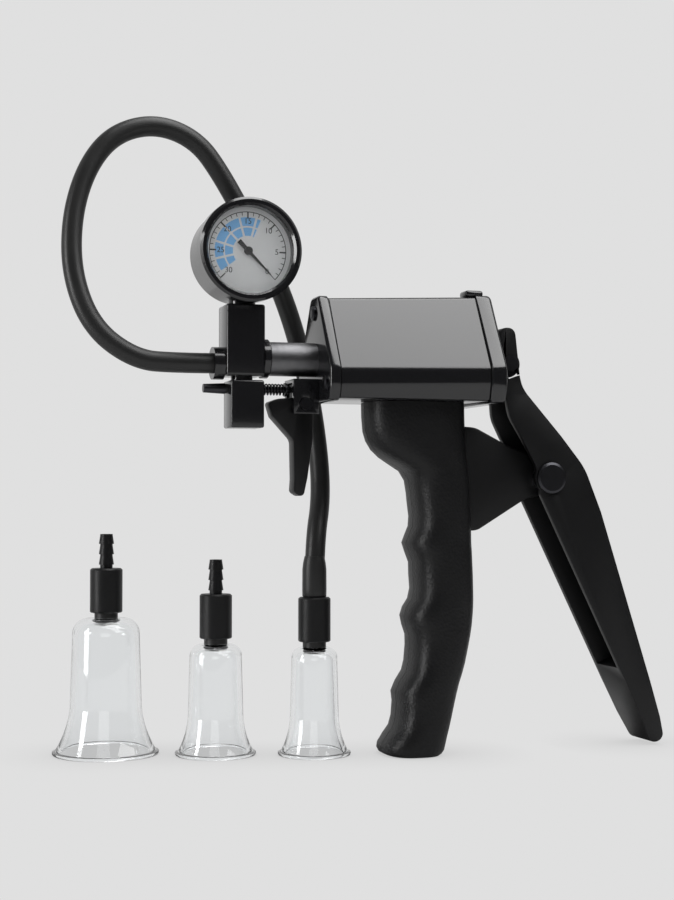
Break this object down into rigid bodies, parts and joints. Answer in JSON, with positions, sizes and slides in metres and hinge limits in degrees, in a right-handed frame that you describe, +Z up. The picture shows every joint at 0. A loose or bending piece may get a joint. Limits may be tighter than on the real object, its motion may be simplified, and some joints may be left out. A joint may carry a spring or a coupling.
{
  "type": "hand vacuum pump",
  "caption": "Pistol-grip hand vacuum pump with dial gauge, release trigger, squeeze lever, hose and clear bell cups.",
  "frame": {"origin": "centre of the grip's flat base, on the surface that the pump stands on", "axes": "+Z up, +X from the hose end to the squeeze lever along the cylinder, +Y away from the side that the gauge faces"},
  "size_m": [0.2328, 0.0749, 0.2389],
  "materials": {
    "black_enamel": "gloss",
    "black_plastic": "satin",
    "black_rubber": "matte",
    "clear_acrylic": "gloss",
    "steel": "satin",
    "brass": "satin",
    "aluminium": "satin",
    "dial_white": "matte",
    "needle_black": "matte"
  },
  "bodies": {
    "pump": {"barrel": "black_enamel", "cylinder_liner": "steel", "front_gasket": "black_rubber", "rear_gasket": "black_rubber", "front_cap": "black_enamel", "rear_cap": "black_enamel", "rod_bush": "brass", "front_cap_screws": "steel", "rear_cap_screws": "steel", "inlet_valve": "black_rubber", "return_spring": "steel", "grip_shell_left": "black_plastic", "grip_shell_right": "black_plastic", "grip_screws": "steel", "pivot_washers": "steel", "lever_pivot_pin": "steel", "outlet_tube": "black_enamel", "tube_nut": "black_enamel", "manifold_block": "black_enamel", "hose_fitting": "black_enamel", "valve_body": "black_enamel", "valve_spring": "steel", "trigger_bracket": "black_enamel", "trigger_pin": "steel", "gauge_stem": "brass", "gauge_case": "black_enamel", "gauge_bezel": "black_enamel", "gauge_lens": "clear_acrylic", "gauge_dial": "dial_white", "gauge_movement": "brass", "bourdon_tube": "brass", "hose": "black_rubber", "small_connector": "black_plastic", "small_cup_washer": "black_rubber", "small_cup": "clear_acrylic"},
    "piston": {"piston": "aluminium", "piston_seal": "black_rubber", "piston_rod": "steel", "piston_nut": "steel", "piston_flap": "black_rubber", "rod_pin": "steel"},
    "lever": {"lever": "black_plastic"},
    "valve_stem": {"valve_stem": "steel", "valve_seal": "black_rubber", "valve_clip": "steel"},
    "trigger": {"trigger": "black_plastic"},
    "needle": {"gauge_needle": "needle_black"},
    "sector": {"gauge_sector": "brass"},
    "large_cup": {"large_cup": "clear_acrylic", "large_cup_washer": "black_rubber", "large_connector": "black_plastic"},
    "medium_cup": {"medium_cup": "clear_acrylic", "medium_cup_washer": "black_rubber", "medium_connector": "black_plastic"}
  },
  "joints": [
    {"name": "lever_squeeze", "type": "hinge", "parent": "pump", "child": "lever", "pos_m": [0.0533, 0, 0.1041], "axis": [0, 1, 0], "range_deg": [0, 28], "stiffness_Nm_per_rad": 1.5, "springref_deg": -8.59},
    {"name": "piston_stroke", "type": "slide", "parent": "pump", "child": "piston", "axis": [1, 0, 0], "range_m": [0, 0.0225], "deforming": ["return_spring"]},
    {"name": "trigger_pull", "type": "hinge", "parent": "pump", "child": "trigger", "pos_m": [-0.043, 0, 0.131], "axis": [0, -1, 0], "range_deg": [0, 20], "stiffness_Nm_per_rad": 0.06, "springref_deg": -5.73},
    {"name": "valve_stem_push", "type": "slide", "parent": "pump", "child": "valve_stem", "axis": [-1, 0, 0], "range_m": [0, 0.0028], "deforming": ["valve_spring"]},
    {"name": "needle_turn", "type": "hinge", "parent": "pump", "child": "needle", "pos_m": [-0.06545, 0, 0.18635], "axis": [0, -1, 0], "range_deg": [0, 270], "stiffness_Nm_per_rad": 0.0002, "springref_deg": -11.46},
    {"name": "sector_turn", "type": "hinge", "parent": "pump", "child": "sector", "pos_m": [-0.06545, 0, 0.17785], "axis": [0, -1, 0], "range_deg": [-33, 0]},
    {"name": "large_cup_lift", "type": "slide", "parent": "pump", "child": "large_cup", "axis": [0, 0, 1], "range_m": [0, 0.05]},
    {"name": "medium_cup_lift", "type": "slide", "parent": "pump", "child": "medium_cup", "axis": [0, 0, 1], "range_m": [0, 0.04]}
  ],
  "couplings": [
    {"joint": "piston_stroke", "follows": "lever_squeeze", "m_per_rad": 0.04563},
    {"joint": "valve_stem_push", "follows": "trigger_pull", "m_per_rad": 0.0077},
    {"joint": "sector_turn", "follows": "needle_turn", "ratio": -0.1184}
  ]
}
